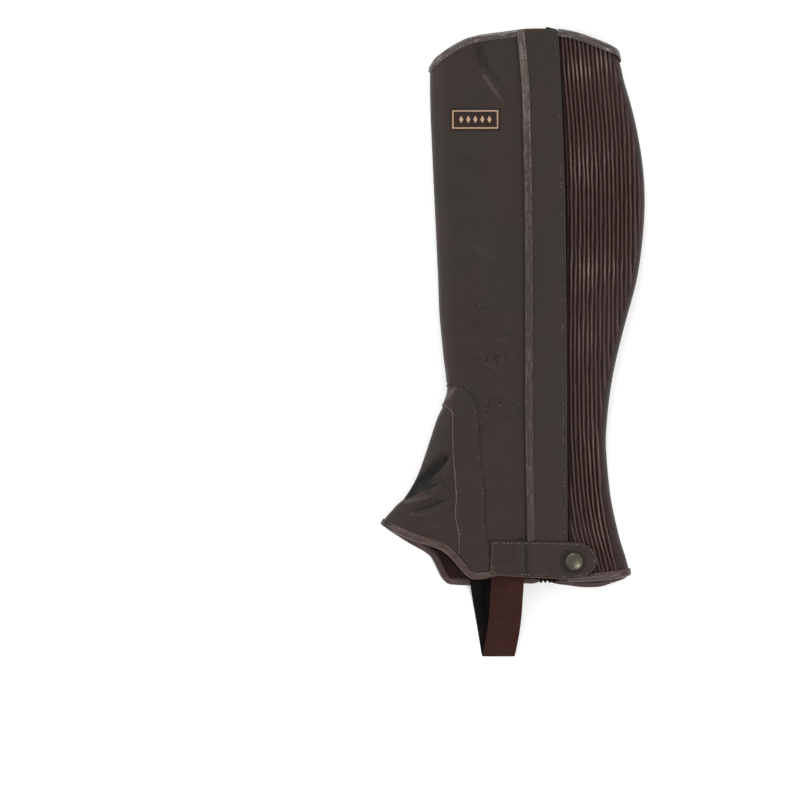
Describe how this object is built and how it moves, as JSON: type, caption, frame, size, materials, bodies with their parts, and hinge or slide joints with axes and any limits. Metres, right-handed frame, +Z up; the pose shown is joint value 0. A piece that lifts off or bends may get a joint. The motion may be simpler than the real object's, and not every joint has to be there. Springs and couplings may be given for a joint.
{
  "type": "half chap",
  "caption": "Half chap of brown leather with a ribbed stretch panel at the calf, a covered zip and a stirrup strap, lying flat.",
  "frame": {"origin": "centre of the lying chap's bounding box, on the surface it rests on", "axes": "+X from the shin to the calf, +Y up the leg from the foot to the knee, +Z up, out of the outer side"},
  "size_m": [0.2088, 0.5036, 0.0357],
  "materials": {
    "leg_leather": "pebbled matt leather, very dark brown",
    "flare_leather": "pebbled matt leather, softly creased",
    "band_leather": "pebbled matt leather",
    "patch_leather": "fine-grained matt leather",
    "strip_leather": "pebbled matt leather",
    "rib_leather": "satin leather in narrow ribs over elastic",
    "tape_cloth": "woven tape, near black",
    "zip_teeth": "satin plastic teeth",
    "zip_metal": "bright silver metal",
    "flap_leather": "pebbled matt leather",
    "flap_binding_leather": "smooth satin leather, red-brown",
    "edge_binding_leather": "smooth satin leather, brown",
    "tab_leather": "matt leather",
    "snap_brass": "aged olive brass",
    "stud_brass": "aged olive brass",
    "strap_elastic": "woven elastic, red-brown outside and black inside",
    "label_leather": "smooth plain label"
  },
  "bodies": {
    "root": {"leg_panel": "leg_leather", "foot_flare": "flare_leather", "ankle_band": "band_leather", "inner_patch": "patch_leather", "back_strip": "strip_leather", "stretch_panel": "rib_leather", "zip_tape_front": "tape_cloth", "zip_tape_back": "tape_cloth", "zip_chain": "zip_teeth", "zip_slider": "zip_metal", "zip_pull": "zip_metal", "zip_flap": "flap_leather", "flap_binding": "flap_binding_leather", "top_binding_front": "edge_binding_leather", "top_binding_back": "edge_binding_leather", "hem_binding_front": "edge_binding_leather", "hem_binding_back": "edge_binding_leather", "snap_tab": "tab_leather", "snap_cap": "snap_brass", "snap_stud": "stud_brass", "stirrup_strap": "strap_elastic", "side_label": "label_leather"}
  },
  "joints": []
}
